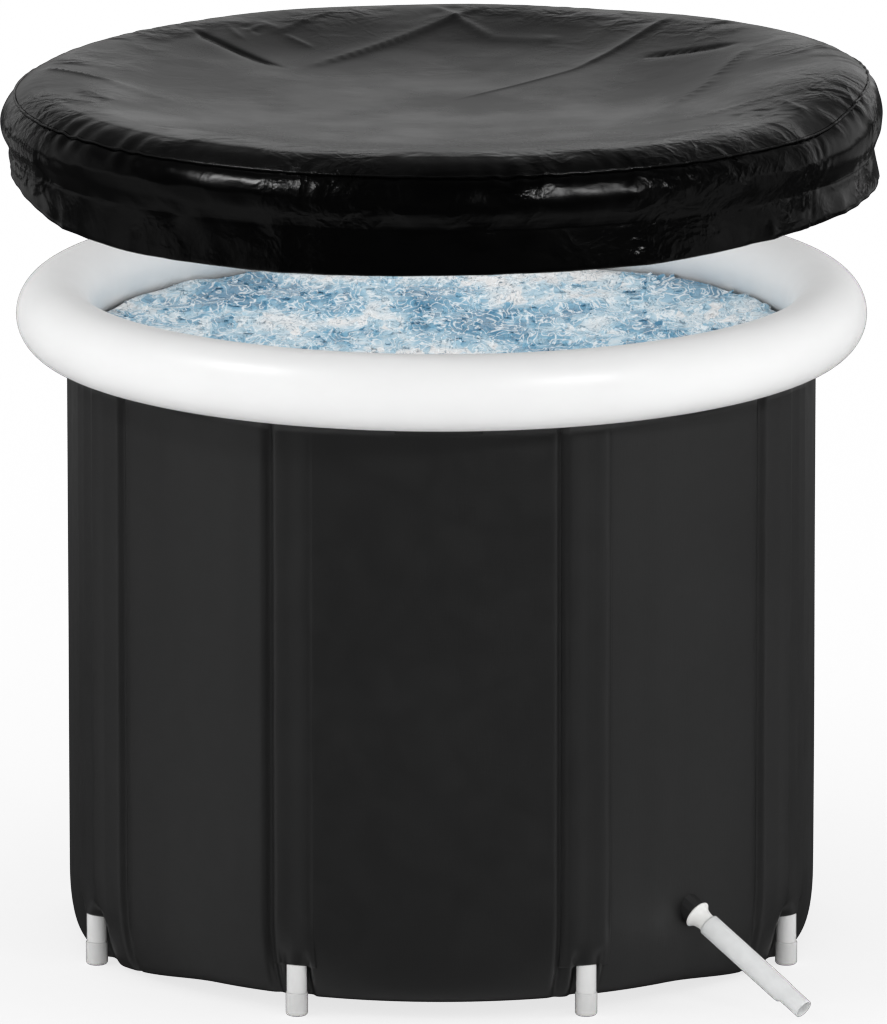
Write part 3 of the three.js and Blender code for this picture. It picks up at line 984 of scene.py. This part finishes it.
def makeSkirt():
    bulge = cover["bulge"]
    waist = bulge - skirt["waist"]
    hem = bulge - skirt["hem"]
    fold = hem - skirt["turnedIn"]
    low = cover["hem"]
    outer = smoothPath([
        (hem, low),
        (waist + 0.001, middle - 0.046),
        (waist, middle - 0.029),
        (waist + 0.002, middle - 0.021),
        (bulge - 0.002, middle - 0.01),
        (bulge - 0.0006, middle + 0.001),
        (bulge - 0.003, middle + 0.0105),
        (0.48, middle + 0.0205),
        (0.4711, middle + 0.0282),
        (0.46, middle + 0.0352),
    ], 8)
    turned = [(fold, low + 0.012), (fold, low + 0.006), (fold, low + 0.001), (fold + 0.001, low)]
    path = np.vstack([turned, [(hem - 0.001, low)], outer[1:]])
    lower = offsetPath(path, cover["film"])
    section = np.vstack([path, lower[:4:-3], lower[4::-1]])
    points, faces = revolved(section, cover["skirtStations"], skirtMove)
    piece = addPiece("lidSkirt", points, faces, "skirt", "lid", "cover_film", ["lid_skirt"])


# Piping in the seam and elastic in the hem
trim = {"pipingInset": 0.0015, "pipingRadius": 0.0013, "elasticCircle": 0.48, "elasticRadius": 0.0022}


def pipingMove(angle, radius, height, share):
    return 0 * radius, skirt["pucker"] * seamPucker(angle) + rimRise(angle) + 0 * radius


def makeTrim():
    low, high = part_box("lid_seam_piping")
    circle = high[0] - trim["pipingInset"]
    section = circleSection(circle, (low[2] + high[2]) / 2, trim["pipingRadius"], 10)
    points, faces = revolved(section, 720, pipingMove)
    addPiece("lidSeamPiping", points, faces, "cover", "lid", "cover_film", ["lid_seam_piping"])
    low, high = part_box("lid_hem_elastic")
    section = circleSection(trim["elasticCircle"], (low[2] + high[2]) / 2, trim["elasticRadius"], 10)
    points, faces = revolved(section, 400, skirtMove)
    addPiece("lidHemElastic", points, faces, "rubber", "lid", "black_rubber", ["lid_hem_elastic"])


makeTopPanel()
makeSkirt()
makeTrim()
print("cover made")

# Water with crushed ice in the well
ice = {
    "level": 0.684,
    "radius": 0.39,
    "depth": 0.02,
    "swell": 0.003,
    "flakes": 1800.0,
    "smallest": 0.003,
    "largest": 0.008,
    "seed": 3,
}


def makeIce():
    rings = [(ice["radius"] * share, ice["level"], 1) for share in np.linspace(1, 0, 60)]

    def swell(angle, radius, height, share):
        x, y = radius * np.cos(angle), radius * np.sin(angle)
        return 0 * x, share * ice["swell"] * np.sin(34 * x + 2 * np.sin(21 * y)) * np.sin(29 * y)

    under = ice["level"] - ice["depth"]
    section = rings + [(0, under, 0), (ice["radius"], under, 0)]
    points, faces = revolved(section, 192, swell)
    water = addMesh("iceWater", points, faces, "ice")
    addFlakes(water)
    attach(water, "tub")


def addFlakes(water):
    tree = bpy.data.node_groups.new("iceFlakes", "GeometryNodeTree")
    tree.interface.new_socket("Geometry", in_out="INPUT", socket_type="NodeSocketGeometry")
    density = tree.interface.new_socket("Density", in_out="INPUT", socket_type="NodeSocketFloat")
    smallest = tree.interface.new_socket("Smallest", in_out="INPUT", socket_type="NodeSocketFloat")
    largest = tree.interface.new_socket("Largest", in_out="INPUT", socket_type="NodeSocketFloat")
    tree.interface.new_socket("Geometry", in_out="OUTPUT", socket_type="NodeSocketGeometry")

    def node(kind, settings, inputs):
        made = tree.nodes.new(kind)
        for key, value in settings.items():
            setattr(made, key, value)
        for key, value in inputs.items():
            if isinstance(value, bpy.types.NodeSocket):
                tree.links.new(value, made.inputs[key])
            else:
                made.inputs[key].default_value = value
        return made.outputs

    def chance(kind, inputs, seed):
        return node("FunctionNodeRandomValue", {"data_type": kind}, {**inputs, "Seed": ice["seed"] + seed})

    given = node("NodeGroupInput", {}, {})
    normal = node("GeometryNodeInputNormal", {}, {})
    facing = node("ShaderNodeSeparateXYZ", {}, {0: normal[0]})
    above = {"data_type": "FLOAT", "operation": "GREATER_THAN"}
    upward = node("FunctionNodeCompare", above, {0: facing[2], 1: 0.5})
    scatter = node(
        "GeometryNodeDistributePointsOnFaces",
        {"distribute_method": "RANDOM"},
        {"Mesh": given[0], "Selection": upward[0], "Density": given[1], "Seed": ice["seed"]},
    )
    flake = node("GeometryNodeMeshIcoSphere", {}, {"Radius": 1.0, "Subdivisions": 1})
    turn = chance("FLOAT_VECTOR", {0: (-0.6, -0.6, 0), 1: (0.6, 0.6, 6.3)}, 1)
    size = chance("FLOAT", {2: given[2], 3: given[3]}, 2)
    stretch = chance("FLOAT_VECTOR", {0: (0.5, 0.5, 0.15), 1: (1.5, 1.2, 0.4)}, 3)
    scale = node("ShaderNodeVectorMath", {"operation": "SCALE"}, {0: stretch[0], "Scale": size[1]})
    spread = node(
        "GeometryNodeInstanceOnPoints",
        {},
        {"Points": scatter[0], "Instance": flake[0], "Rotation": turn[0], "Scale": scale[0]},
    )
    real = node("GeometryNodeRealizeInstances", {}, {0: spread[0]})
    both = tree.nodes.new("GeometryNodeJoinGeometry")
    tree.links.new(real[0], both.inputs[0])
    tree.links.new(given[0], both.inputs[0])
    painted = node("GeometryNodeSetMaterial", {}, {0: both.outputs[0], "Material": materials["ice"]})
    node("NodeGroupOutput", {}, {0: painted[0]})

    modifier = water.modifiers.new("flakes", "NODES")
    modifier.node_group = tree
    modifier[density.identifier] = ice["flakes"]
    modifier[smallest.identifier] = ice["smallest"]
    modifier[largest.identifier] = ice["largest"]
    depsgraph = bpy.context.evaluated_depsgraph_get()
    mesh = bpy.data.meshes.new_from_object(water.evaluated_get(depsgraph))
    water.modifiers.remove(modifier)
    water.data = mesh
    mesh.shade_flat()
    print("ice", len(mesh.polygons))


makeIce()

# Solids that stay as they are
keptFinishes = {
    "outer_base": "wall",
    "floor_insulation": "foam",
    "air_valve_base": "ring",
    "air_valve_cap": "ring",
    "drain_outer_gasket": "rubber",
    "drain_inner_gasket": "rubber",
    "drain_nut": "drain",
    "drain_stopper": "rubber",
}
keptFinishes.update({f"pole_top_cap_{number}": "cap" for number in range(1, 9)})
for nodeName, finish in keptFinishes.items():
    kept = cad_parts[nodeName]
    kept.data.materials.clear()
    kept.data.materials.append(materials[finish])
print("kept solids painted")

# Light: fill gives no highlight; shine gives only highlights, on the cover and along its back edges
lampAim = 0.62
lights = {
    "leftStrip": {"turn": -80, "rise": 14, "away": 3.0, "size": (1.4, 2.4), "power": 13, "kind": "fill"},
    "rightStrip": {"turn": 80, "rise": 14, "away": 3.0, "size": (1.4, 2.4), "power": 13, "kind": "fill"},
    "leftBox": {"turn": -62, "rise": 44, "away": 3.2, "size": (0.42, 0.42), "power": 7, "kind": "both"},
    "leftGlint": {"turn": -62, "rise": 44, "away": 3.2, "size": (0.42, 0.42), "power": 22, "kind": "shine"},
    "rightBox": {"turn": 37, "rise": 33, "away": 3.2, "size": (0.42, 0.42), "power": 7, "kind": "both"},
    "rightGlint": {"turn": 37, "rise": 33, "away": 3.2, "size": (0.42, 0.42), "power": 19, "kind": "shine"},
    "leftBack": {"turn": -138, "rise": -8, "away": 3.0, "size": (2.4, 0.6), "power": 0.6, "kind": "shine"},
    "rightBack": {"turn": 138, "rise": -8, "away": 3.0, "size": (2.4, 0.6), "power": 0.6, "kind": "shine"},
    "front": {"turn": 0, "rise": 4, "away": 4.0, "size": (2.4, 1.2), "power": 11, "kind": "fill"},
    "inTub": {"turn": 0, "rise": 90, "away": 0.2, "size": (0.7, 0.7), "power": 0.55, "kind": "fill"},
    "onRing": {"turn": 0, "rise": 90, "away": 0.225, "size": (0.95, 0.95), "power": 1.4, "kind": "fill"},
}
surround = {
    "camera": 1.0,
    "clear": 0.9,
    "horizon": 1.5,
    "overhead": 0.5,
    "glossyFront": 0.02,
    "glossySides": 0.255,
    "glossyBack": 0.43,
}
floor = {"size": 12.0, "shade": (0.95, 0.95, 0.95), "glow": 3.0}


def makeLights():
    aim = Vector((0, 0, lampAim))
    for name, light in lights.items():
        data = bpy.data.lights.new(name, "AREA")
        data.energy = light["power"]
        data.shape = "ELLIPSE"
        data.size, data.size_y = light["size"]
        lamp = bpy.data.objects.new(name, data)
        bpy.context.scene.collection.objects.link(lamp)
        turn, rise = math.radians(light["turn"]), math.radians(light["rise"])
        way = Vector((math.sin(turn) * math.cos(rise), -math.cos(turn) * math.cos(rise), math.sin(rise)))
        lamp.location = aim + way * light["away"]
        lamp.rotation_euler = way.to_track_quat("Z", "Y").to_euler()
        lamp.visible_camera = False
        lamp.visible_glossy = light["kind"] != "fill"
        lamp.visible_diffuse = light["kind"] != "shine"


def makeSurround():
    world = bpy.data.worlds.new("surround")
    bpy.context.scene.world = world
    world.use_nodes = True
    world.cycles.sampling_method = "NONE"
    graph = Graph(world.node_tree)
    way = graph.node("ShaderNodeTexCoord", {}, {}, "Generated")
    back = graph.node("ShaderNodeSeparateXYZ", {}, {0: way}, "Y")
    rise = graph.node("ShaderNodeSeparateXYZ", {}, {0: way}, "Z")
    across = graph.node("ShaderNodeSeparateXYZ", {}, {0: way}, "X")
    mirror = graph.span(back, -0.3, 0.9, surround["glossyFront"], surround["glossyBack"])
    mirror = mirror * graph.span(rise, 0.22, 0.6, 1.0, 0.34) * graph.span(across, -0.4, 0.4, 0.76, 1.34)
    sides = graph.span(back, -0.8, -0.1, surround["glossyFront"], surround["glossySides"])
    sides = sides * graph.span(back, -0.15, 0.45, 1.0, 0.12) * graph.span(rise, 0.0, 0.2, 1.0, 0.0)
    mirror = graph.span(rise, -0.12, 0.02, 0.0, 1.0) * mirror + sides
    soft = graph.span(abs(rise), 0.1, 0.8, surround["horizon"], surround["overhead"])
    seen = graph.node("ShaderNodeLightPath", {}, {}, "Is Camera Ray")
    mirrored = graph.node("ShaderNodeLightPath", {}, {}, "Is Glossy Ray")
    through = graph.node("ShaderNodeLightPath", {}, {}, "Is Transmission Ray")
    bounced = mirrored * mirror + (1 - mirrored) * soft
    bent = through * surround["clear"] + (1 - through) * bounced
    strength = seen * surround["camera"] + (1 - seen) * bent
    shader = graph.node("ShaderNodeBackground", {}, {"Color": (1, 1, 1, 1), "Strength": strength})
    graph.node("ShaderNodeOutputWorld", {}, {"Surface": shader})


def floorMaterial():
    material, graph = newGraph("floorPaint")
    seen = graph.node("ShaderNodeLightPath", {}, {}, "Is Camera Ray")
    graph.finish({
        "Base Color": tone(floor["shade"]),
        "Roughness": 0.9,
        "Emission Color": graph.mixColours(seen, (0, 0, 0, 1), (1, 1, 1, 1)),
        "Emission Strength": floor["glow"],
    })
    return material


def makeFloor():
    half = floor["size"] / 2
    corners = [(-half, -half, 0), (half, -half, 0), (half, half, 0), (-half, half, 0)]
    mesh = bpy.data.meshes.new("floor")
    mesh.from_pydata(corners, [], [(0, 1, 2, 3)])
    mesh.materials.append(floorMaterial())
    ground = bpy.data.objects.new("floor", mesh)
    bpy.context.scene.collection.objects.link(ground)
    ground.is_shadow_catcher = True
    ground.visible_glossy = False


makeLights()
makeSurround()
makeFloor()
bpy.context.scene.view_settings.view_transform = "Standard"
print("lights set")
